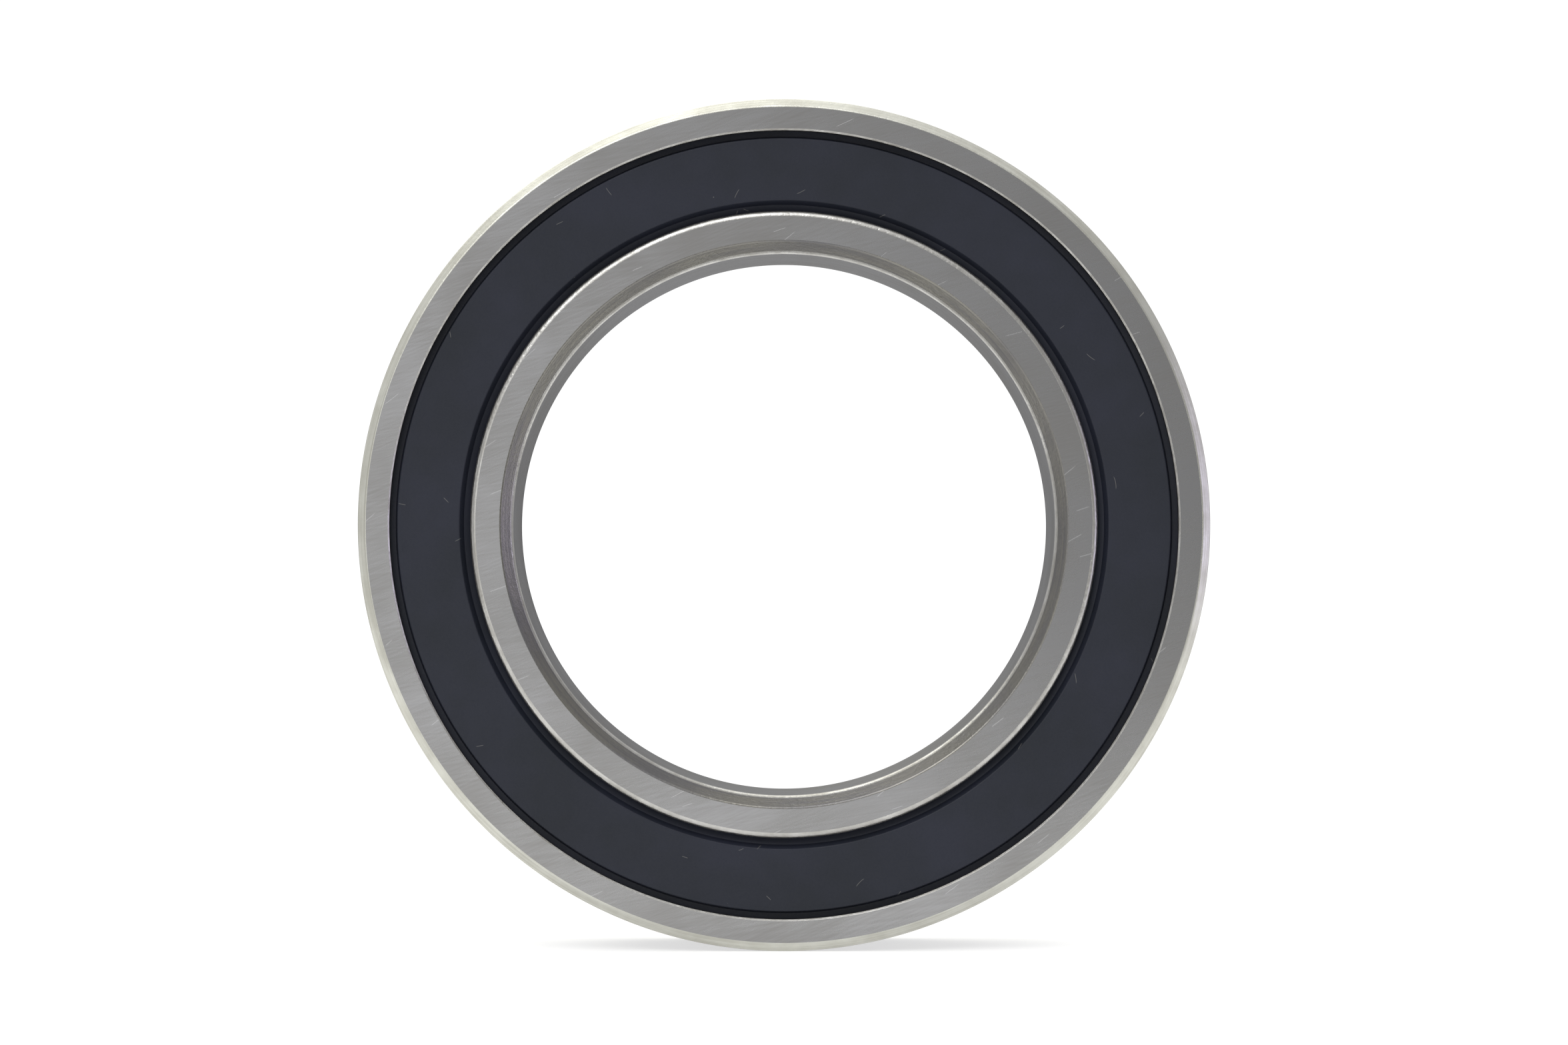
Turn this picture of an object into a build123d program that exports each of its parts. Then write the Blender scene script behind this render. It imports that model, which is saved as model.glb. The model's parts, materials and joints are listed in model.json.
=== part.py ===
from build123d import *
import os
from math import asin, cos, radians, sin, sqrt

# Sealed deep groove ball bearing, in millimetres.
# The bearing's axis is Y, its front face looks towards -Y, and Z is up.
# The origin is on the axis, halfway between the two side faces.

# Overall size
bore_d = 35.0
outer_d = 55.0
width = 10.0

# Edges of the two rings
bore_chamfer = 0.75
outer_chamfer = 0.5
edge_round = 0.2  # blends a chamfer into the side face, and the outer one into the seat
bore_round = 0.55  # blends the bore's chamfer into the bore
land_round = 0.36  # rim of the inner ring's side face, next to the seal lip
mouth_break = 0.1  # edge of the outer ring's side face, next to the seal

# Balls and raceways
ball_count = 14
ball_d = 5.953
race_opening = 0.119  # raceway profile radius over the ball's radius
race_clearance = 0.01  # between a ball and the bottom of each raceway
shoulder_height = 1.2  # of a raceway's shoulders over its bottom

# Steps of the rings beside the seals, counted from the raceway's shoulder
land_step = 0.487  # inner ring, down to its side face's rim
lip_groove_step = 0.977  # inner ring, down to the bottom of the lip's groove
mouth_step = 1.128  # outer ring, up to its side face's edge
undercut_step = 1.608  # outer ring, up to the bottom of the groove that holds the seal

# Cage, pressed from sheet in two halves and riveted
sheet = 0.5
pocket_clearance = 0.1
cage_clearance = 0.5  # to the shoulder of each ring
bend_radius = 0.4  # inside radius where a pocket runs out into the flats
rivet_head_share = 0.72  # head diameter, of the flat between two pockets
rivet_shank_share = 0.42  # shank diameter, of the same
rivet_head_height_share = 0.18  # head height, of the same
rivet_rim_share = 0.35  # height of the head's straight rim, of the head's height
rivet_clearance = 0.02

# Seals: the seal fills the space from the cage to its set-back face
seal_gap = 0.15  # from the cage to the seal's back
seal_recess = 0.3  # from the side faces to the seal's face
# across the radius, outwards from the inner ring's land
lip_root_offset = 0.44
face_start_offset = 0.7
core_start_offset = 0.98
heel_cover = 0.14  # rubber between the washer and the lip
# and inwards from the edge of the outer ring's mouth
face_end_offset = 0.485
core_end_offset = 0.5
foot_offset = 0.36
lip_clearance = 0.06
bead_clearance = 0.02
# along the axis, as shares of the seal's thickness counted from its back
core_share = 0.27
bead_share = 0.47
bead_chamfer_share = 0.14
undercut_top_share = 0.56
mouth_start_share = 0.76
groove_start_share = -0.45
groove_end_share = 0.545
groove_slope_share = 0.2
lip_root_front_share = 0.53
lip_root_back_share = 0.15
lip_tip_front_share = 0.2
lip_tip_back_share = -0.08
face_round_share = 0.1
lip_round_share = 0.06

# Sizes that follow from the ones above
bore_r = bore_d / 2
outer_r = outer_d / 2
half = width / 2
pitch_r = (bore_r + outer_r) / 2
ball_r = ball_d / 2
step = 360 / ball_count
quarter_turn = 90

race_r = ball_r + race_opening
inner_bottom = pitch_r - ball_r - race_clearance
outer_bottom = pitch_r + ball_r + race_clearance
inner_shoulder = inner_bottom + shoulder_height
outer_shoulder = outer_bottom - shoulder_height
land_r = inner_shoulder - land_step
lip_groove_r = inner_shoulder - lip_groove_step
mouth_r = outer_shoulder + mouth_step
undercut_r = outer_shoulder + undercut_step

pocket_r = ball_r + pocket_clearance
dome_r = pocket_r + sheet
cage_inner_r = inner_shoulder + cage_clearance
cage_outer_r = outer_shoulder - cage_clearance
bend_y = sheet + bend_radius
bend_x = sqrt((dome_r + bend_radius) ** 2 - bend_y**2)
flat_length = 2 * (pitch_r * sin(radians(step / 2)) - bend_x)
rivet_head_r = rivet_head_share * flat_length / 2
rivet_shank_r = rivet_shank_share * flat_length / 2
rivet_head_height = rivet_head_height_share * flat_length

seal_back = dome_r + seal_gap
seal_face = half - seal_recess
seal_thickness = seal_face - seal_back
core_start_r = land_r + core_start_offset
core_end_r = mouth_r - core_end_offset


def seal_y(share):
    """Distance from the bearing's middle plane, for a share of the seal's thickness."""
    return seal_back + share * seal_thickness


def corner(face, r, y):
    """The corner of a flat profile nearest to radius r and axial position y."""
    return face.vertices().sort_by_distance((r, y, 0))[0]


def rounded(face, points, radius):
    """The profile with the corners at these points rounded off."""
    for r, y in points:
        face = fillet(corner(face, r, y), radius)
    return face


def both_sides(r, y):
    """A point of a profile on the back half and its mirror image on the front half."""
    return [(r, y), (r, -y)]


def ring(side, bottom_r, centre_r, rounds):
    """A ring turned about Y. The side's points run from the seat to the shoulder, and the
    raceway's arc joins the two shoulders. Rounds lists corners of the side with radii."""
    shoulder = side[-1][0]
    edge = sqrt(race_r**2 - (centre_r - shoulder) ** 2)
    back = side + [(shoulder, edge)]
    front = [(r, -y) for r, y in reversed(back)]
    outline = Polyline(*front, *back) + ThreePointArc(
        (shoulder, edge), (bottom_r, 0), (shoulder, -edge)
    )
    face = make_face(outline)
    for r, y, radius in rounds:
        face = rounded(face, both_sides(r, y), radius)
    return revolve(face, Axis.Y)


def inner_ring():
    """Bore, chamfers, side faces, a groove for each seal lip and the inner raceway."""
    slope = groove_slope_share * seal_thickness
    start, end = seal_y(groove_start_share), seal_y(groove_end_share)
    # the rim's round stops halfway across a narrow side face or a short land
    rim_round = min(land_round, (land_r - bore_r - bore_chamfer) / 2, (half - end) / 2)
    side = [
        (bore_r, half - bore_chamfer),
        (bore_r + bore_chamfer, half),
        (land_r, half),
        (land_r, end),
        (lip_groove_r, end),
        (lip_groove_r, start + slope),
        (inner_shoulder, start),
    ]
    rounds = [
        (bore_r, half - bore_chamfer, bore_round),
        (bore_r + bore_chamfer, half, edge_round),
        (land_r, half, rim_round),
    ]
    return ring(side, inner_bottom, inner_bottom + race_r, rounds)


def outer_ring():
    """Seat, chamfers, side faces, a snap groove for each seal and the outer raceway."""
    side = [
        (outer_r, half - outer_chamfer),
        (outer_r - outer_chamfer, half),
        (mouth_r + mouth_break, half),
        (mouth_r, half - mouth_break),
        (mouth_r, seal_y(mouth_start_share)),
        (undercut_r, seal_y(undercut_top_share)),
        (undercut_r, seal_back),
        (outer_shoulder, seal_back),
    ]
    rounds = [
        (outer_r, half - outer_chamfer, edge_round),
        (outer_r - outer_chamfer, half, edge_round),
    ]
    return ring(side, outer_bottom, outer_bottom - race_r, rounds)


def round_about(shape, turn):
    """A shape made at the top of the bearing, turned about the bearing's axis."""
    return Rot(0, turn, 0) * shape


def ball(number):
    """One ball on the pitch circle. The first is at the top."""
    ball_up = Pos(0, 0, pitch_r) * Rot(90, 0, 0) * Sphere(ball_r)
    return round_about(ball_up, (number - 1) * step)


def cage_pocket():
    """Profile of the pressed sheet around one ball, from the top of the dome over the bend
    and out along the flat, for turning about the line through the ball parallel to Y."""
    reach = dome_r + bend_radius
    across, along = bend_x / reach, bend_y / reach
    # direction of the middle of every arc, halfway between Y and the bend's centre
    mid_x, mid_y = across / sqrt(2 + 2 * along), (1 + along) / sqrt(2 + 2 * along)

    def arc_about_ball(radius):
        return ThreePointArc(
            (0, radius), (radius * mid_x, radius * mid_y), (radius * across, radius * along)
        )

    def arc_about_bend(radius):
        return ThreePointArc(
            (bend_x - radius * across, bend_y - radius * along),
            (bend_x - radius * mid_x, bend_y - radius * mid_y),
            (bend_x, bend_y - radius),
        )

    flat_end = cage_outer_r
    return make_face(
        Line((0, pocket_r), (0, dome_r))
        + arc_about_ball(dome_r)
        + arc_about_bend(bend_radius)
        + Polyline((bend_x, sheet), (flat_end, sheet), (flat_end, 0), (bend_x, 0))
        + arc_about_bend(bend_radius + sheet)
        + arc_about_ball(pocket_r)
    )


def cage_half():
    """The back half of the cage: one pocket per ball, and a rivet hole in each flat between."""
    pocket = Pos(0, 0, pitch_r) * revolve(cage_pocket(), Axis.Y)
    strip = Rectangle(cage_outer_r - cage_inner_r, dome_r, align=(Align.MIN, Align.MIN))
    sector = revolve(Pos(cage_inner_r, 0) * strip, Axis.Y, step)
    # the sector runs on from +X, a quarter turn past the pocket on +Z
    tile = pocket & round_about(sector, -quarter_turn - step / 2)
    half_cage = Part() + [round_about(tile, n * step) for n in range(ball_count)]
    hole = Rot(90, 0, 0) * Cylinder(rivet_shank_r + rivet_clearance, 4 * sheet)
    holes = [round_about(Pos(0, 0, pitch_r) * hole, (n + 0.5) * step) for n in range(ball_count)]
    return half_cage - holes


def rivet():
    """One rivet at the top of the bearing, with a low domed head on each side of the cage."""
    top = sheet + rivet_head_height
    rim = sheet + rivet_rim_share * rivet_head_height
    dome = top - rim
    dome_radius = (rivet_head_r**2 + dome**2) / (2 * dome)
    halfway = asin(rivet_head_r / dome_radius) / 2
    middle = (dome_radius * sin(halfway), top - dome_radius * (1 - cos(halfway)))
    back = [(0, top), (0, 0), (rivet_shank_r, 0), (rivet_shank_r, sheet)]
    back += [(rivet_head_r, sheet), (rivet_head_r, rim)]
    outline = Polyline(*back) + ThreePointArc(back[-1], middle, back[0])
    back = revolve(make_face(outline), Axis.Y)
    return Pos(0, 0, pitch_r) * (back + mirror(back, Plane.XZ))


def cage_rivets():
    """All rivets, one in each flat between two pockets."""
    return Compound([round_about(rivet(), (n + 0.5) * step) for n in range(ball_count)])


def seal_core_profile():
    """Steel washer bonded into the back of the seal."""
    size = core_end_r - core_start_r, core_share * seal_thickness
    return Pos(core_start_r, seal_back) * Rectangle(*size, align=(Align.MIN, Align.MIN))


def seal_rubber_profile():
    """Rubber over the washer, with a bead in the outer ring's groove and a lip that reaches
    into the inner ring's groove."""
    bead_r = undercut_r - bead_clearance
    bead_top = seal_y(bead_share)
    bead_chamfer = bead_chamfer_share * seal_thickness
    tip_r = lip_groove_r + lip_clearance
    face_start, face_end = land_r + face_start_offset, mouth_r - face_end_offset
    root_r = land_r + lip_root_offset
    outline = [
        (bead_r - bead_chamfer, seal_back),
        (bead_r, seal_back + bead_chamfer),
        (bead_r, bead_top - bead_chamfer),
        (bead_r - bead_chamfer, bead_top),
        (mouth_r - foot_offset, bead_top),
        (face_end, seal_face),
        (face_start, seal_face),
        (root_r, seal_y(lip_root_front_share)),
        (tip_r, seal_y(lip_tip_front_share)),
        (tip_r, seal_y(lip_tip_back_share)),
        (root_r, seal_y(lip_root_back_share)),
        (core_start_r - heel_cover, seal_back),
    ]
    face = make_face(Polyline(*outline, close=True)) - seal_core_profile()
    edges = [(face_end, seal_face), (face_start, seal_face)]
    face = rounded(face, edges, face_round_share * seal_thickness)
    tips = [(tip_r, seal_y(lip_tip_front_share)), (tip_r, seal_y(lip_tip_back_share))]
    return rounded(face, tips, lip_round_share * seal_thickness)


def seal(profile):
    """The front and the back seal's piece with this profile."""
    back = revolve(profile, Axis.Y)
    return mirror(back, Plane.XZ), back


def save(name, shape):
    export_step(shape, f"parts/{name}.step")


os.makedirs("parts", exist_ok=True)
save("inner_ring", inner_ring())
save("outer_ring", outer_ring())
for number in range(1, ball_count + 1):
    save(f"ball_{number:02d}", ball(number))
cage_back = cage_half()
save("cage_back", cage_back)
save("cage_front", mirror(cage_back, Plane.XZ))
save("cage_rivets", cage_rivets())
front_rubber, back_rubber = seal(seal_rubber_profile())
save("seal_front_rubber", front_rubber)
save("seal_back_rubber", back_rubber)
front_core, back_core = seal(seal_core_profile())
save("seal_front_core", front_core)
save("seal_back_core", back_core)
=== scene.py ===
import json
import math

import bpy
import numpy as np
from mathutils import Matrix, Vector


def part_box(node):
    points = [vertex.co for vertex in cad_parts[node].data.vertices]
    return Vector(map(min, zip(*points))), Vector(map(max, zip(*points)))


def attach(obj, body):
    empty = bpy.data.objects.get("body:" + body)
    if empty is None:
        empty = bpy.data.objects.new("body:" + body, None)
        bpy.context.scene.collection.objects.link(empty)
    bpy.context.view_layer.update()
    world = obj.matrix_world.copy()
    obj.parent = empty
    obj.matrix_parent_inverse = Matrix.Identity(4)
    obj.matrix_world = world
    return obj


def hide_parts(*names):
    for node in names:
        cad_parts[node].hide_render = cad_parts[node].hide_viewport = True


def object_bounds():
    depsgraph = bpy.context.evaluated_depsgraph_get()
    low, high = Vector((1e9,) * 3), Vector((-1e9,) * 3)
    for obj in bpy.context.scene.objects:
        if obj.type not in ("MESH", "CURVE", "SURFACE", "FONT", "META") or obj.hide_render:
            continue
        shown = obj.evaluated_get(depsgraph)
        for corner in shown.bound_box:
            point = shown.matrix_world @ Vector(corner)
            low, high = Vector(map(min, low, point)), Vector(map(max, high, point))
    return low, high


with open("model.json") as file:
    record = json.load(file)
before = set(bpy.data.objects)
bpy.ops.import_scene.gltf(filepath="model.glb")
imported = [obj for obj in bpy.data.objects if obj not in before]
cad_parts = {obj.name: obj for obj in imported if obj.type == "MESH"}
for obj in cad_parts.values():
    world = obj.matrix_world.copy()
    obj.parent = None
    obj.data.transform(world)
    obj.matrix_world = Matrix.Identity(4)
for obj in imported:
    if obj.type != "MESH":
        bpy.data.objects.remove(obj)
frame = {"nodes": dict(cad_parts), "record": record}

mm = 0.001
frontSide, backSide = -1, 1
cadBounds = [list(corner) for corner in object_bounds()]
print("frame loaded, CAD box in mm:", [[round(v / mm, 2) for v in corner] for corner in cadBounds])


def linearColour(hexCode):
    # sRGB hex to the linear values that shaders take
    channels = [int(hexCode[i:i + 2], 16) / 255 for i in (1, 3, 5)]
    return [c / 12.92 if c <= 0.04045 else ((c + 0.055) / 1.055) ** 2.4 for c in channels] + [1.0]


def addNode(tree, kind, settings):
    # a name or number says which property or socket is set; a node or socket given for one is linked
    node = tree.nodes.new(kind)
    for key, value in settings.items():
        source = value.outputs[0] if isinstance(value, bpy.types.Node) else value
        if isinstance(source, bpy.types.NodeSocket):
            tree.links.new(source, node.inputs[key])
        elif isinstance(key, str) and hasattr(node, key):
            setattr(node, key, value)
        else:
            node.inputs[key].default_value = value
    return node


def emptyTree(owner):
    owner.use_nodes = True
    owner.node_tree.nodes.clear()
    return owner.node_tree


def placeInMm(tree):
    # place on the piece in millimetres, so that every pattern below is sized in millimetres
    place = addNode(tree, "ShaderNodeTexCoord", {})
    return addNode(tree, "ShaderNodeVectorMath",
                   {"operation": "SCALE", "Scale": 1 / mm, 0: place.outputs["Object"]})


def grain(tree, place, size, angle=0.0, detail=4.0, shift=0.0):
    # soft grain, size mm along x, y and z, with x and z turned about the bearing's axis
    laid = addNode(tree, "ShaderNodeMapping",
                   {"vector_type": "TEXTURE", "Vector": place, "Location": (shift, shift, shift),
                    "Rotation": (0, math.radians(angle), 0), "Scale": size})
    return addNode(tree, "ShaderNodeTexNoise",
                   {"Vector": laid, "Scale": 1.0, "Detail": detail, "Roughness": 0.6})


fadeStart = 0.35  # share of its length, from its middle, at which a stray mark starts to fade


def strayMarks(tree, place, look):
    # short hair-like marks, at most one in each cell of a loose grid, on faces square to the axis
    parts = addNode(tree, "ShaderNodeSeparateXYZ", {0: place})
    flat = addNode(tree, "ShaderNodeCombineXYZ", {0: parts.outputs[0], 1: parts.outputs[2]})
    cells = addNode(tree, "ShaderNodeTexVoronoi",
                    {"voronoi_dimensions": "2D", "Vector": flat, "Scale": 1 / look["spacing"]})
    away = addNode(tree, "ShaderNodeVectorMath",
                   {"operation": "SUBTRACT", 0: flat, 1: cells.outputs["Position"]})
    chance = addNode(tree, "ShaderNodeSeparateColor", {0: cells.outputs["Color"]})
    lean = addNode(tree, "ShaderNodeMapRange",
                   {"Value": chance.outputs[0], "To Min": math.radians(look["angle"] - look["fan"]),
                    "To Max": math.radians(look["angle"] + look["fan"])})
    turned = addNode(tree, "ShaderNodeVectorRotate",
                     {"rotation_type": "Z_AXIS", "Vector": away, "Angle": lean})
    local = addNode(tree, "ShaderNodeSeparateXYZ", {0: turned})
    # each is bent a little, to its own side
    bow = addNode(tree, "ShaderNodeMath",
                  {"operation": "MULTIPLY", 0: local.outputs[0], 1: local.outputs[0]})
    toSide = addNode(tree, "ShaderNodeMapRange",
                     {"Value": chance.outputs[1], "To Min": -look["bend"], "To Max": look["bend"]})
    bent = addNode(tree, "ShaderNodeMath",
                   {"operation": "MULTIPLY_ADD", 0: bow, 1: toSide, 2: local.outputs[1]})
    across = addNode(tree, "ShaderNodeMath", {"operation": "ABSOLUTE", 0: bent})
    along = addNode(tree, "ShaderNodeMath", {"operation": "ABSOLUTE", 0: local.outputs[0]})
    # and is shortened by a factor between 1 and "shortest"
    shrink = addNode(tree, "ShaderNodeMapRange",
                     {"Value": chance.outputs[1], "To Min": 1.0, "To Max": look["shortest"]})
    along = addNode(tree, "ShaderNodeMath", {"operation": "MULTIPLY", 0: along, 1: shrink})
    thin = addNode(tree, "ShaderNodeMapRange",
                   {"Value": across, "From Min": look["width"] / 2, "From Max": look["width"],
                    "To Min": 1.0, "To Max": 0.0})
    short = addNode(tree, "ShaderNodeMapRange",
                    {"Value": along, "From Min": look["length"] * fadeStart,
                     "From Max": look["length"] / 2, "To Min": 1.0, "To Max": 0.0})
    picked = addNode(tree, "ShaderNodeMath",
                     {"operation": "GREATER_THAN", 0: chance.outputs[2], 1: 1 - look["share"]})
    line = addNode(tree, "ShaderNodeMath", {"operation": "MULTIPLY", 0: thin, 1: short})
    return addNode(tree, "ShaderNodeMath", {"operation": "MULTIPLY", 0: line, 1: picked})


# marks are (length, width) in mm along and across the cut, dents are (width, depth) in mm, depth is
# that of the marks in mm and patch is the size of the cloudy patches in mm. Real wheel marks are
# about 0.01 mm wide, too fine to show here, so each stands for a bundle of them.
discGround = {"colours": ("#9c9c9d", "#8d8c8b"), "roughness": (0.22, 0.33), "edgeTint": "#ffffff",
              "marks": (18, 0.11), "angles": (-24, -9), "depth": 0.0013, "patch": 9,
              "scratches": {"spacing": 1.5, "length": 2.2, "width": 0.028, "angle": -28, "fan": 14,
                            "bend": 0.03, "share": 0.13, "shortest": 3.0},
              "scratchColour": "#dcdcde", "scratchCover": 0.26, "scratchDepth": 0.002}
cylinderGround = {"colours": ("#98989b", "#868584"), "roughness": (0.30, 0.46), "edgeTint": "#b6b6b6",
                  "marks": (22, 0.10), "depth": 0.0030, "patch": 12}
# the brighter grey of the turned finish below is painted light: the outer chamfer's reflection of bright
# surroundings
turnedPaintedLight = {"colours": ("#c8c8c0", "#b5b4ab"), "roughness": (0.30, 0.46), "edgeTint": "#ffffff",
                "marks": (9, 0.10), "depth": 0.0030, "patch": 2.5, "dents": (0.34, 0.0060)}
# the darker grey of the turned finish below is painted shade, for the bore's chamfer and for recesses
turnedPaintedShade = {"colours": ("#82807a", "#706f70"), "roughness": (0.28, 0.48), "edgeTint": "#9a9a9a",
              "marks": (9, 0.09), "depth": 0.0055, "patch": 7, "dents": (0.26, 0.0080)}
tumbledEdge = {"colours": ("#bfbebb", "#a5a39e"), "roughness": (0.26, 0.44), "edgeTint": "#ffffff",
               "marks": (5, 0.12), "depth": 0.0022, "patch": 1.2, "dents": (0.30, 0.0100)}
honed = {"colours": ("#c6c6c8", "#bcbcbe"), "roughness": (0.07, 0.14), "edgeTint": "#ffffff",
         "marks": (25, 0.08), "depth": 0.0004, "patch": 10}
lapped = {"colours": ("#cfcfd2", "#c6c6ca"), "roughness": (0.03, 0.08), "edgeTint": "#ffffff",
          "marks": (0.9, 0.9), "depth": 0.0002, "patch": 1.6}
pressed = {"colours": ("#aaa69f", "#97928b"), "roughness": (0.30, 0.46), "edgeTint": "#ffffff",
           "marks": (0.22, 0.22), "depth": 0.0030, "patch": 4.0, "dents": (0.5, 0.0040)}
coldHeaded = {"colours": ("#b3afa8", "#9e9992"), "roughness": (0.26, 0.42), "edgeTint": "#ffffff",
              "marks": (0.16, 0.16), "depth": 0.0025, "patch": 0.9, "dents": (0.3, 0.0040)}
phosphated = {"colours": ("#75746f", "#5e5d59"), "roughness": (0.52, 0.70), "edgeTint": "#b0b0b0",
              "marks": (0.12, 0.12), "depth": 0.0035, "patch": 1.5}


# the parts of the summed grain that run from one colour to the other, from smooth to rough, and from
# no dent to the deepest
toneRange, roughRange, dentRange = (0.8, 1.2), (0.72, 1.28), (0.42, 0.75)


def steel(name, look):
    # cutting or forming marks over cloudy patches, then dents and scratches where the finish has them
    material = bpy.data.materials.new(name)
    tree = emptyTree(material)
    place = placeInMm(tree)
    length, width = look["marks"]
    patch = look["patch"]
    if "angles" in look:
        # straight marks of two passes of the wheel, which cross
        first, second = look["angles"]
        oneWay = grain(tree, place, (length, 1, width), first)
        otherWay = grain(tree, place, (length * 0.6, 1, width * 1.4), second, shift=7)
        cuts = addNode(tree, "ShaderNodeMath", {"operation": "ADD", 0: oneWay, 1: otherWay})
        cuts = addNode(tree, "ShaderNodeMath", {"operation": "MULTIPLY", 0: cuts, 1: 0.5})
    else:
        # marks that run round the axis, or an even grain where length and width are the same
        cuts = grain(tree, place, (length, width, length))
    clouds = grain(tree, place, (patch, patch, patch), detail=3, shift=31)
    both = addNode(tree, "ShaderNodeMath", {"operation": "ADD", 0: cuts, 1: clouds})
    tone = addNode(tree, "ShaderNodeMapRange",
                   {"Value": both, "From Min": toneRange[0], "From Max": toneRange[1]})
    colour = addNode(tree, "ShaderNodeMix",
                     {"data_type": "RGBA", 0: tone, 6: linearColour(look["colours"][0]),
                      7: linearColour(look["colours"][1])}).outputs[2]
    low, high = look["roughness"]
    rough = addNode(tree, "ShaderNodeMapRange",
                    {"Value": both, "From Min": roughRange[0], "From Max": roughRange[1],
                     "To Min": low, "To Max": high})
    height = addNode(tree, "ShaderNodeMath", {"operation": "MULTIPLY", 0: cuts, 1: look["depth"] * mm})
    if "dents" in look:
        size, depth = look["dents"]
        dents = addNode(tree, "ShaderNodeMapRange",
                        {"Value": grain(tree, place, (size, size, size), detail=2, shift=53),
                         "From Min": dentRange[0], "From Max": dentRange[1],
                         "To Min": 0.0, "To Max": -depth * mm})
        height = addNode(tree, "ShaderNodeMath", {"operation": "ADD", 0: height, 1: dents})
    if "scratches" in look:
        scratch = strayMarks(tree, place, look["scratches"])
        height = addNode(tree, "ShaderNodeMath", {"operation": "MULTIPLY_ADD", 0: scratch,
                                                  1: -look["scratchDepth"] * mm, 2: height})
        bright = addNode(tree, "ShaderNodeMath",
                         {"operation": "MULTIPLY", 0: scratch, 1: look["scratchCover"]})
        colour = addNode(tree, "ShaderNodeMix",
                         {"data_type": "RGBA", 0: bright, 6: colour,
                          7: linearColour(look["scratchColour"])}).outputs[2]
    bump = addNode(tree, "ShaderNodeBump", {"Strength": 1.0, "Distance": 1.0, "Height": height})
    shader = addNode(tree, "ShaderNodeBsdfPrincipled",
                     {"Metallic": 1.0, "Specular Tint": linearColour(look["edgeTint"]),
                      "Base Color": colour, "Roughness": rough, "Normal": bump})
    addNode(tree, "ShaderNodeOutputMaterial", {0: shader})
    return material


# Through-hardened bearing steel, ground flat between two discs: dull grey with long straight marks
# that cross at a small angle, and a few stray bright scratches.
discGroundSteel = steel("disc_ground_bearing_steel", discGround)
# The same steel ground on its cylinders: fine lines run round it, and they break up the reflection
# of what lies behind, so a bore seen from its end stays mid grey.
cylinderGroundSteel = steel("cylinder_ground_bearing_steel", cylinderGround)
# Turned before hardening, then tumbled: tool rings and soft dents. Outside it is bright and faintly
# straw-coloured; the brightness is painted light, for the outer chamfer's reflection of bright
# surroundings.
turnedSteelPaintedLight = steel("turned_bright_bearing_steel", turnedPaintedLight)
# In the bore's chamfer and the grooves it is a darker, slightly warm grey with more of the tool's rings;
# the darker grey is painted shade, for faces that look inwards and for recesses.
turnedSteelPaintedShade = steel("turned_dark_bearing_steel", turnedPaintedShade)
# Edges rounded over by tumbling: they catch the light in a broken bright line.
tumbledSteel = steel("tumbled_edge_bearing_steel", tumbledEdge)
# Raceways honed almost to a mirror.
honedSteel = steel("honed_raceway_steel", honed)
# Chrome steel balls, lapped to a mirror with the faintest haze.
lappedSteel = steel("lapped_chrome_steel", lapped)
# Low-carbon sheet steel pressed in a die: satin, warm grey, with a fine orange-peel skin.
pressedSteel = steel("pressed_sheet_steel", pressed)
# Rivet wire headed cold: like the cage, a little brighter where the tool closed it.
coldHeadedSteel = steel("cold_headed_rivet_steel", coldHeaded)
# Sheet steel with a dark grey phosphate coat that the rubber grips: matt and crystalline.
phosphatedSteel = steel("phosphated_sheet_steel", phosphated)
print("steel finishes made")


# grain, cloud, specks and hairs in mm; covers and shares from 0 to 1
rubberLook = {"colours": ("#161a23", "#1d202c"), "roughness": (0.50, 0.62), "grain": 0.14,
              "grainDepth": 0.004, "ior": 1.5, "specular": 0.32, "cloud": 7.0,
              "dust": "#8e8c86", "dustCover": 0.30,
              "speckSpacing": 0.9, "speckSize": 0.055, "speckShare": 0.06,
              "hairs": {"spacing": 2.6, "length": 0.9, "width": 0.024, "angle": 0, "fan": 180,
                        "bend": 0.35, "share": 0.20, "shortest": 2.5}}


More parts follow.
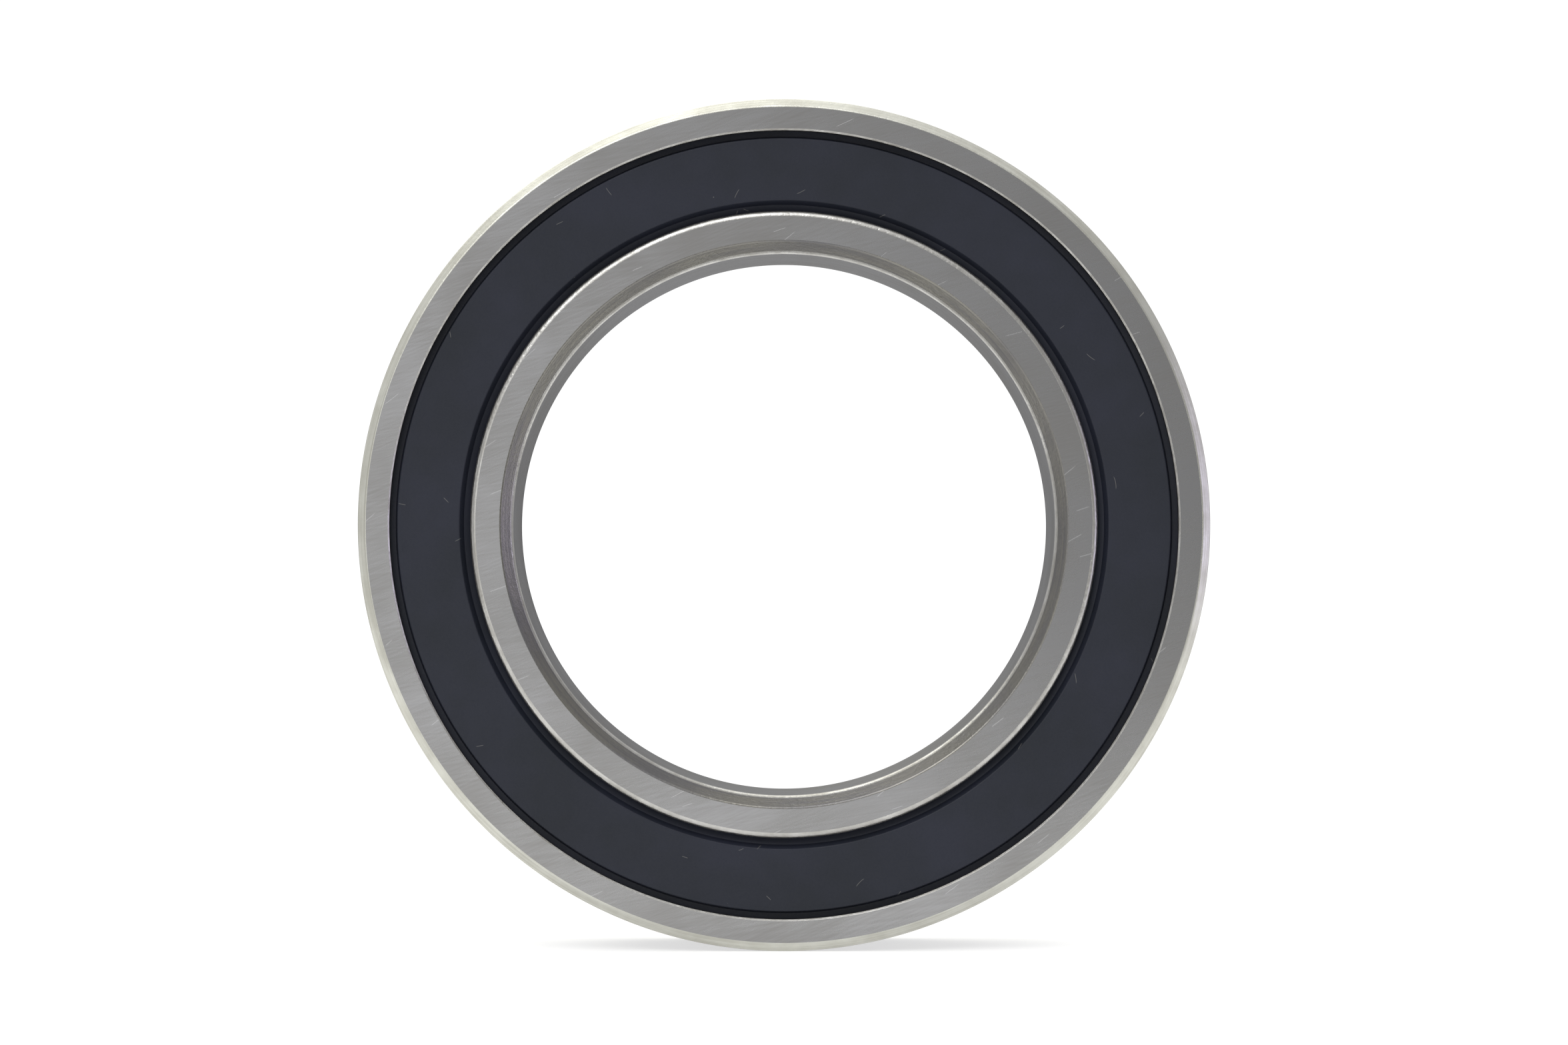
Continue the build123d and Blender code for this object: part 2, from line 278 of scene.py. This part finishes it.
def nitrileRubber(name, look):
    material = bpy.data.materials.new(name)
    tree = emptyTree(material)
    place = placeInMm(tree)
    # the die's real grain is about 0.03 mm; it is drawn coarser so that it shows
    skin = grain(tree, place, (look["grain"], look["grain"], look["grain"]), detail=3)
    clouds = grain(tree, place, (look["cloud"], look["cloud"], look["cloud"]), detail=3, shift=11)
    tone = addNode(tree, "ShaderNodeMapRange", {"Value": clouds, "From Min": 0.35, "From Max": 0.65})
    colour = addNode(tree, "ShaderNodeMix",
                     {"data_type": "RGBA", 0: tone, 6: linearColour(look["colours"][0]),
                      7: linearColour(look["colours"][1])}).outputs[2]
    specks = addNode(tree, "ShaderNodeTexVoronoi", {"Vector": place, "Scale": 1 / look["speckSpacing"]})
    chance = addNode(tree, "ShaderNodeSeparateColor", {0: specks.outputs["Color"]})
    size = look["speckSize"] / look["speckSpacing"]
    dot = addNode(tree, "ShaderNodeMapRange",
                  {"Value": specks.outputs["Distance"], "From Min": size * 0.6, "From Max": size,
                   "To Min": 1.0, "To Max": 0.0})
    picked = addNode(tree, "ShaderNodeMath",
                     {"operation": "GREATER_THAN", 0: chance.outputs[0], 1: 1 - look["speckShare"]})
    dot = addNode(tree, "ShaderNodeMath", {"operation": "MULTIPLY", 0: dot, 1: picked})
    dust = addNode(tree, "ShaderNodeMath",
                   {"operation": "MAXIMUM", 0: dot, 1: strayMarks(tree, place, look["hairs"])})
    thinned = addNode(tree, "ShaderNodeMath", {"operation": "MULTIPLY", 0: dust, 1: look["dustCover"]})
    colour = addNode(tree, "ShaderNodeMix",
                     {"data_type": "RGBA", 0: thinned, 6: colour,
                      7: linearColour(look["dust"])}).outputs[2]
    low, high = look["roughness"]
    rough = addNode(tree, "ShaderNodeMapRange",
                    {"Value": skin, "From Min": 0.3, "From Max": 0.7, "To Min": low, "To Max": high})
    height = addNode(tree, "ShaderNodeMath",
                     {"operation": "MULTIPLY", 0: skin, 1: look["grainDepth"] * mm})
    bump = addNode(tree, "ShaderNodeBump", {"Strength": 1.0, "Distance": 1.0, "Height": height})
    shader = addNode(tree, "ShaderNodeBsdfPrincipled",
                     {"Metallic": 0.0, "IOR": look["ior"], "Specular IOR Level": look["specular"],
                      "Base Color": colour, "Roughness": rough, "Normal": bump})
    addNode(tree, "ShaderNodeOutputMaterial", {0: shader})
    return material


# Nitrile rubber moulded in a spark-eroded die: blue-black, matt, with an even fine grain, a few
# specks of dust and short hair-like scuffs from handling.
sealRubber = nitrileRubber("moulded_nitrile_rubber", rubberLook)
print("rubber made")


segments = 512  # round each ring and seal
roundStep = 9  # degrees of turn between points on a rounded corner
pointsPerRing = 6
racewaySteps = 24


def roundedSection(corners):
    # corners: (r, y, round, finish over the round, finish of the leg that follows, tool rings on it)
    # in mm, anticlockwise with r to the right and y up. Gives points with the way each faces outwards,
    # so that flats stay flat.
    section = []
    count = len(corners)
    at = [Vector(c[:2]) for c in corners]
    for n, (_, _, radius, over, finish, feed) in enumerate(corners):
        before, here, after = at[n - 1], at[n], at[(n + 1) % count]
        come, go = (here - before).normalized(), (after - here).normalized()
        turn = math.atan2(come.x * go.y - come.y * go.x, come.dot(go))
        if radius == 0:
            mean = (come + go).normalized()
            section.append((here.x, here.y, mean.y, -mean.x, finish))
            continue
        side = math.copysign(1, turn)
        start = here - come * radius * math.tan(abs(turn) / 2)
        centre = start + Vector((-come.y, come.x)) * radius * side
        steps = max(3, round(abs(math.degrees(turn)) / roundStep))
        for k in range(steps + 1):
            c, s = math.cos(turn * k / steps), math.sin(turn * k / steps)
            heading = Vector((come.x * c - come.y * s, come.x * s + come.y * c))
            spot = centre - Vector((-heading.y, heading.x)) * radius * side
            section.append((spot.x, spot.y, heading.y, -heading.x, over if k < steps else finish))
        if feed:
            section += toolRings(Vector(section[-1][:2]), at[(n + 1) % count], go, feed, finish)
    return section


def toolRings(start, end, go, feed, finish):
    # the shallow rings that a turning tool leaves, feed = (spacing, depth, length kept clear at the end)
    spacing, depth, clear = feed
    length = (end - start).length - clear
    rings = max(1, int(length / spacing))
    out = Vector((go.y, -go.x))
    points = []
    for k in range(1, rings * pointsPerRing + 1):
        s = k * length / (rings * pointsPerRing)
        wave = 2 * math.pi * s * rings / length
        sink = depth * (1 - math.cos(wave)) / 2
        slope = depth * math.sin(wave) / 2 * 2 * math.pi * rings / length
        spot = start + go * s - out * sink
        facing = (out + go * slope).normalized()
        points.append((spot.x, spot.y, facing.x, facing.y, finish))
    return points


def turnedRing(name, corners, finishes):
    # finishes: {finish name: material}
    section = roundedSection(corners)
    radii, heights, outR, outY = (np.array([p[i] for p in section]) for i in range(4))
    angles = np.arange(segments) * 2 * math.pi / segments
    sine, cosine = np.sin(angles)[:, None], np.cos(angles)[:, None]
    flat = np.ones_like(sine)
    places = np.stack([sine * radii, flat * heights, cosine * radii], -1).reshape(-1, 3) * mm
    facings = np.stack([sine * outR, flat * outY, cosine * outR], -1).reshape(-1, 3)
    count = len(section)
    i, j = np.meshgrid(np.arange(segments), np.arange(count), indexing="ij")
    i2, j2 = (i + 1) % segments, (j + 1) % count
    quads = np.stack([i * count + j, i2 * count + j, i2 * count + j2, i * count + j2], -1)
    quads = quads.reshape(-1, 4)
    mesh = bpy.data.meshes.new(name)
    mesh.from_pydata(places.tolist(), [], quads.tolist())
    names = list(finishes)
    for finish in names:
        mesh.materials.append(finishes[finish])
    which = np.tile([names.index(p[4]) for p in section], segments)
    mesh.polygons.foreach_set("material_index", which.astype(np.int32))
    mesh.polygons.foreach_set("use_smooth", np.ones(len(quads), bool))
    mesh.normals_split_custom_set_from_vertices(facings.tolist())
    mesh.update()
    ring = bpy.data.objects.new(name, mesh)
    bpy.context.scene.collection.objects.link(ring)
    return ring


def mirrored(corners, joining):
    # the front half of a section from its back half: a leg's finish belongs to its first corner, so
    # each moves up one, and joining is the finish of the leg or raceway that joins the two halves
    legs = [joining] + [corner[4:] for corner in corners[:-1]]
    return [(r, -y, radius, over) + leg
            for (r, y, radius, over, *_), leg in zip(corners, legs)][::-1]


def frameMm(node, corner, axis):
    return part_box(node)[corner][axis] / mm


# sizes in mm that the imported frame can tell
sizes = {
    "boreR": frame["record"]["mounts"][0]["dims"]["r_mm"],
    "outerR": frameMm("outer_ring", 1, 0),
    "half": frameMm("outer_ring", 1, 1),
    "innerShoulder": frameMm("inner_ring", 1, 0),
    "ballR": frameMm("ball_01", 1, 1),
    "beadR": frameMm("seal_back_rubber", 1, 0),
    "sealFace": frameMm("seal_back_rubber", 1, 1),
    "sealBack": frameMm("seal_back_core", 0, 1),
    "coreTop": frameMm("seal_back_core", 1, 1),
    "coreEndR": frameMm("seal_back_core", 1, 0),
}
sizes["pitchR"] = (sizes["boreR"] + sizes["outerR"]) / 2
sizes["outerShoulder"] = 2 * sizes["pitchR"] - sizes["innerShoulder"]
sealThickness = sizes["sealFace"] - sizes["sealBack"]
print("sizes from the frame in mm:", {key: round(value, 4) for key, value in sizes.items()})


def throughSeal(share):
    # distance from the middle plane, for a share of the seal's thickness counted from its back
    return sizes["sealBack"] + share * sealThickness


ringLook = {
    # in mm: raceway radius over the ball's, and the raceway's gap to the ball
    "raceOpening": 0.119, "raceClearance": 0.01,
    "boreChamfer": 0.75, "outerChamfer": 0.5, "chamferRound": 0.2, "boreRound": 0.55, "rimRound": 0.36,
    # spacing and depth of the tool's rings, and the length kept clear of them
    "chamferRings": (0.085, 0.0022, 0.09),
    "mouthBreak": 0.1, "sharpEdge": 0.03, "innerCorner": 0.05,
    "landStep": 0.487, "lipGrooveStep": 0.977,  # down from the inner ring's shoulder
    "mouthStep": 1.128, "undercutStep": 1.608,  # up from the outer ring's shoulder
    "grooveStart": -0.45, "grooveSlopeEnd": -0.25, "grooveEnd": 0.545,  # shares of the seal's thickness
    "undercutTop": 0.56, "mouthStart": 0.76,
}


def raceway(look, size, side):
    # the raceway's bottom, its centre and radius, and how far its edge is from the middle plane;
    # side is 1 for the outer ring and -1 for the inner ring
    raceR = size["ballR"] + look["raceOpening"]
    centreR = size["pitchR"] + side * (size["ballR"] + look["raceClearance"] - raceR)
    shoulder = size["pitchR"] - side * (size["pitchR"] - size["outerShoulder"])
    return raceR, centreR, math.sqrt(raceR ** 2 - (shoulder - centreR) ** 2)


def racewayPoints(raceR, centreR, edgeY, side):
    # points on the raceway between its two edges, down past the outer ring or up past the inner one
    widest = math.asin(edgeY / raceR)
    turns = [-side * widest * (2 * k / racewaySteps - 1) for k in range(1, racewaySteps)]
    return [(centreR + side * raceR * math.cos(t), raceR * math.sin(t), 0, "race", "race", None)
            for t in turns]


def makeOuterRing(look, size):
    outerR, half, shoulder = size["outerR"], size["half"], size["outerShoulder"]
    mouthR, undercutR = shoulder + look["mouthStep"], shoulder + look["undercutStep"]
    chamfer, sharp, inside = look["outerChamfer"], look["sharpEdge"], look["innerCorner"]
    race = raceway(look, size, 1)
    back = [
        (outerR, half - chamfer, look["chamferRound"], "chamfer", "chamfer", look["chamferRings"]),
        (outerR - chamfer, half, look["chamferRound"], "chamfer", "face", None),
        (mouthR + look["mouthBreak"], half, sharp, "edge", "edge", None),
        (mouthR, half - look["mouthBreak"], sharp, "edge", "turned", None),
        (mouthR, throughSeal(look["mouthStart"]), sharp, "turned", "turned", None),
        (undercutR, throughSeal(look["undercutTop"]), inside, "turned", "turned", None),
        (undercutR, size["sealBack"], inside, "turned", "turned", None),
        (shoulder, size["sealBack"], inside, "edge", "ground", None),
        (shoulder, race[2], inside, "edge", "race", None),
    ]
    section = back + racewayPoints(*race, 1) + mirrored(back, ("ground", None))
    # the chamfer takes the turned steel with painted light, the mouth and undercut the one with painted
    # shade
    return turnedRing("outer_ring_turned", section,
                      {"face": discGroundSteel, "chamfer": turnedSteelPaintedLight, "turned": turnedSteelPaintedShade,
                       "edge": tumbledSteel, "ground": cylinderGroundSteel, "race": honedSteel})


def makeInnerRing(look, size):
    boreR, half, shoulder = size["boreR"], size["half"], size["innerShoulder"]
    landR, grooveR = shoulder - look["landStep"], shoulder - look["lipGrooveStep"]
    chamfer, inside = look["boreChamfer"], look["innerCorner"]
    race = raceway(look, size, -1)
    back = [
        (shoulder, race[2], inside, "edge", "ground", None),
        (shoulder, throughSeal(look["grooveStart"]), inside, "edge", "turned", None),
        (grooveR, throughSeal(look["grooveSlopeEnd"]), inside, "turned", "ground", None),
        (grooveR, throughSeal(look["grooveEnd"]), inside, "turned", "turned", None),
        (landR, throughSeal(look["grooveEnd"]), inside, "turned", "turned", None),
        (landR, half, look["rimRound"], "edge", "face", None),
        (boreR + chamfer, half, look["chamferRound"], "chamfer", "chamfer", look["chamferRings"]),
        (boreR, half - chamfer, look["boreRound"], "edge", "ground", None),
    ]
    section = back + mirrored(back, ("race", None)) + racewayPoints(*race, -1)
    # the bore chamfer and grooves take the turned steel with painted shade
    return turnedRing("inner_ring_turned", section,
                      {"face": discGroundSteel, "chamfer": turnedSteelPaintedShade, "turned": turnedSteelPaintedShade,
                       "edge": tumbledSteel, "ground": cylinderGroundSteel, "race": honedSteel})


outerRing = makeOuterRing(ringLook, sizes)
innerRing = makeInnerRing(ringLook, sizes)
for ring, node in ((outerRing, "outer_ring"), (innerRing, "inner_ring")):
    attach(ring, node)
    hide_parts(node)
print("rings turned:", [len(ring.data.polygons) for ring in (outerRing, innerRing)], "faces")


sealLook = {
    # out from the inner ring's land
    "lipRoot": 0.44, "faceStart": 0.7, "coreStart": 0.98, "heelCover": 0.14, "lipClearance": 0.06,
    # in from the outer ring's mouth
    "faceEnd": 0.485, "foot": 0.36,
    # shares of the seal's thickness
    "beadTop": 0.47, "beadBevel": 0.14, "lipRootFront": 0.53, "lipTipFront": 0.2, "lipTipBack": -0.08,
    "lipRootBack": 0.15, "faceRound": 0.1, "lipRound": 0.06, "mouldRound": 0.04,
}


def makeSeal(name, side, look, size):
    back, front, beadR = size["sealBack"], size["sealFace"], size["beadR"]
    landR = size["innerShoulder"] - ringLook["landStep"]
    mouthR = size["outerShoulder"] + ringLook["mouthStep"]
    bevel, small = look["beadBevel"] * sealThickness, look["mouldRound"] * sealThickness
    faceRound, lipRound = look["faceRound"] * sealThickness, look["lipRound"] * sealThickness
    beadTop = throughSeal(look["beadTop"])
    tipR = size["innerShoulder"] - ringLook["lipGrooveStep"] + look["lipClearance"]
    coreStart, rootR = landR + look["coreStart"], landR + look["lipRoot"]
    outline = [
        (coreStart - look["heelCover"], back, small),
        # round the steel core, which stays the CAD piece
        (coreStart, back, 0), (coreStart, size["coreTop"], 0),
        (size["coreEndR"], size["coreTop"], 0), (size["coreEndR"], back, 0),
        # the bead that snaps into the outer ring, and the foot of the face
        (beadR - bevel, back, small), (beadR, back + bevel, small), (beadR, beadTop - bevel, small),
        (beadR - bevel, beadTop, small), (mouthR - look["foot"], beadTop, small),
        # the face, then the lip that reaches into the inner ring's groove
        (mouthR - look["faceEnd"], front, faceRound), (landR + look["faceStart"], front, faceRound),
        (rootR, throughSeal(look["lipRootFront"]), small),
        (tipR, throughSeal(look["lipTipFront"]), lipRound),
        (tipR, throughSeal(look["lipTipBack"]), lipRound),
        (rootR, throughSeal(look["lipRootBack"]), small),
    ]
    corners = [corner + ("rubber", "rubber", None) for corner in outline]
    if side == frontSide:
        corners = mirrored(corners, ("rubber", None))
    return turnedRing(name, corners, {"rubber": sealRubber})


for name, side, node in (("front_seal_moulded", frontSide, "seal_front_rubber"),
                         ("back_seal_moulded", backSide, "seal_back_rubber")):
    seal = makeSeal(name, side, sealLook, sizes)
    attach(seal, "outer_ring")
    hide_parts(node)
print("seals moulded")


insideFinish = {"cage_front": pressedSteel, "cage_back": pressedSteel, "cage_rivets": coldHeadedSteel,
                "seal_front_core": phosphatedSteel, "seal_back_core": phosphatedSteel}
# these pieces keep the shape that the CAD gives them
for node, piece in frame["nodes"].items():
    material = lappedSteel if node.startswith("ball_") else insideFinish.get(node)
    if material:
        for place in piece.material_slots:
            place.material = material
print("balls, cage, rivets and cores finished")


studio = {
    "floorRadius": 0.16, "floorRings": (0.25, 0.5, 1), "floorSides": 128,
    "opal": ("#bdbdbc", "#b4b4b3"), "opalPatch": 40, "opalRoughness": 0.8, "glow": 0.60,
    # how bright each side of the tent is, how softly the sides meet, and patches that each glow
    # towards one side, two of them faintly tinted
    "tent": {"left": 0.45, "right": 0.45, "front": 0.29, "back": 0.60, "down": 0.45, "up": 1.15},
    "blend": 0.02,
    "patches": [{"towards": (-0.28, -0.96, -0.02), "outer": 25, "strength": 1.05, "tint": "#ffffff"},
                {"towards": (-1.00, 0.12, 0.12), "outer": 40, "strength": 0.50, "tint": "#ffffff"},
                {"towards": (1.00, -0.08, -0.05), "outer": 30, "strength": 1.35, "tint": "#e3daff"},
                {"towards": (-0.30, 0.50, 0.82), "outer": 38, "strength": 1.60, "tint": "#fffef2"}],
    # how white the tent is straight behind the bearing
    "seen": 1.1,
    "key": 1.35, "keySpread": 46, "keyFrom": (-0.27, -0.66, 0.70),
}


def makeFloor(look):
    # the lit opal acrylic top of a light table, faintly uneven
    material = bpy.data.materials.new("opal_cast_acrylic")
    tree = emptyTree(material)
    patch = look["opalPatch"]
    cast = grain(tree, placeInMm(tree), (patch, patch, patch), detail=3)
    tone = addNode(tree, "ShaderNodeMapRange", {"Value": cast, "From Min": 0.3, "From Max": 0.7})
    colour = addNode(tree, "ShaderNodeMix",
                     {"data_type": "RGBA", 0: tone, 6: linearColour(look["opal"][0]),
                      7: linearColour(look["opal"][1])}).outputs[2]
    shader = addNode(tree, "ShaderNodeBsdfPrincipled",
                     {"Metallic": 0.0, "Roughness": look["opalRoughness"], "Base Color": colour,
                      "Emission Color": (1, 1, 1, 1), "Emission Strength": look["glow"]})
    addNode(tree, "ShaderNodeOutputMaterial", {0: shader})
    # a round top in rings, under the bearing
    low, around = cadBounds[0][2], look["floorSides"]
    mesh = bpy.data.meshes.new("floor")
    spots = [(0, 0, low)]
    turns = [2 * math.pi * n / around for n in range(around)]
    for share in look["floorRings"]:
        radius = share * look["floorRadius"]
        spots += [(radius * math.cos(t), radius * math.sin(t), low) for t in turns]
    pieces = [(0, 1 + n, 1 + (n + 1) % around) for n in range(around)]
    for first in range(1, 1 + around * (len(look["floorRings"]) - 1), around):
        pieces += [(first + n, first + around + n,
                    first + around + (n + 1) % around, first + (n + 1) % around) for n in range(around)]
    mesh.from_pydata(spots, [], pieces)
    mesh.materials.append(material)
    floor = bpy.data.objects.new("floor", mesh)
    bpy.context.scene.collection.objects.link(floor)


def makeTent(look):
    # a white light tent: its sides run smoothly into each other
    world = bpy.data.worlds.new("light_tent")
    bpy.context.scene.world = world
    tree = emptyTree(world)
    heading = addNode(tree, "ShaderNodeTexCoord", {}).outputs["Generated"]
    parts = addNode(tree, "ShaderNodeSeparateXYZ", {0: heading})
    total = (0, 0, 0)
    for output, (low, high) in zip(parts.outputs, (("left", "right"), ("front", "back"), ("down", "up"))):
        share = addNode(tree, "ShaderNodeMath", {"operation": "MULTIPLY", 0: output, 1: output})
        side = addNode(tree, "ShaderNodeMapRange",
                       {"Value": output, "From Min": -look["blend"], "From Max": look["blend"],
                        "To Min": look["tent"][low], "To Max": look["tent"][high]})
        total = addNode(tree, "ShaderNodeVectorMath",
                        {"operation": "MULTIPLY_ADD", 0: share, 1: side, 2: total})
    for patch in look["patches"]:
        facing = addNode(tree, "ShaderNodeVectorMath",
                         {"operation": "DOT_PRODUCT", 0: heading,
                          1: Vector(patch["towards"]).normalized()}).outputs["Value"]
        soft = addNode(tree, "ShaderNodeMapRange",
                       {"interpolation_type": "SMOOTHSTEP", "Value": facing,
                        "From Min": math.cos(math.radians(patch["outer"])), "To Max": patch["strength"]})
        total = addNode(tree, "ShaderNodeVectorMath",
                        {"operation": "MULTIPLY_ADD", 0: soft, 1: linearColour(patch["tint"])[:3],
                         2: total})
    # what the camera sees of the tent is plain white
    ray = addNode(tree, "ShaderNodeLightPath", {}).outputs["Is Camera Ray"]
    lit = addNode(tree, "ShaderNodeMix",
                  {"data_type": "VECTOR", 0: ray, 4: total, 5: [look["seen"]] * 3})
    shine = addNode(tree, "ShaderNodeBackground", {"Color": lit.outputs[1], "Strength": 1.0})
    addNode(tree, "ShaderNodeOutputWorld", {0: shine})


def makeKey(look):
    # one large soft light, high in front and a little to the left
    light = bpy.data.lights.new("soft_key", "SUN")
    light.energy, light.angle = look["key"], math.radians(look["keySpread"])
    key = bpy.data.objects.new("soft_key", light)
    key.rotation_euler = Vector(look["keyFrom"]).to_track_quat("Z", "Y").to_euler()
    bpy.context.scene.collection.objects.link(key)


# places, lens and sensor in mm, start of the clipping range in m
view = {"from": (0.0, -240.0, -4.24), "at": (0.0, 0.0, 0.19), "lens": 83.85, "sensor": 36,
        "clipStart": 0.01}


def makeCamera(look):
    data = bpy.data.cameras.new("camera")
    data.lens, data.sensor_width, data.clip_start = look["lens"], look["sensor"], look["clipStart"]
    camera = bpy.data.objects.new("camera", data)
    place, target = Vector(look["from"]) * mm, Vector(look["at"]) * mm
    camera.location = place
    camera.rotation_euler = (target - place).to_track_quat("-Z", "Y").to_euler()
    bpy.context.scene.collection.objects.link(camera)
    bpy.context.scene.camera = camera


makeFloor(studio)
makeTent(studio)
makeKey(studio)
makeCamera(view)
bpy.context.scene.view_settings.view_transform = "Standard"
print("floor, light and camera placed")
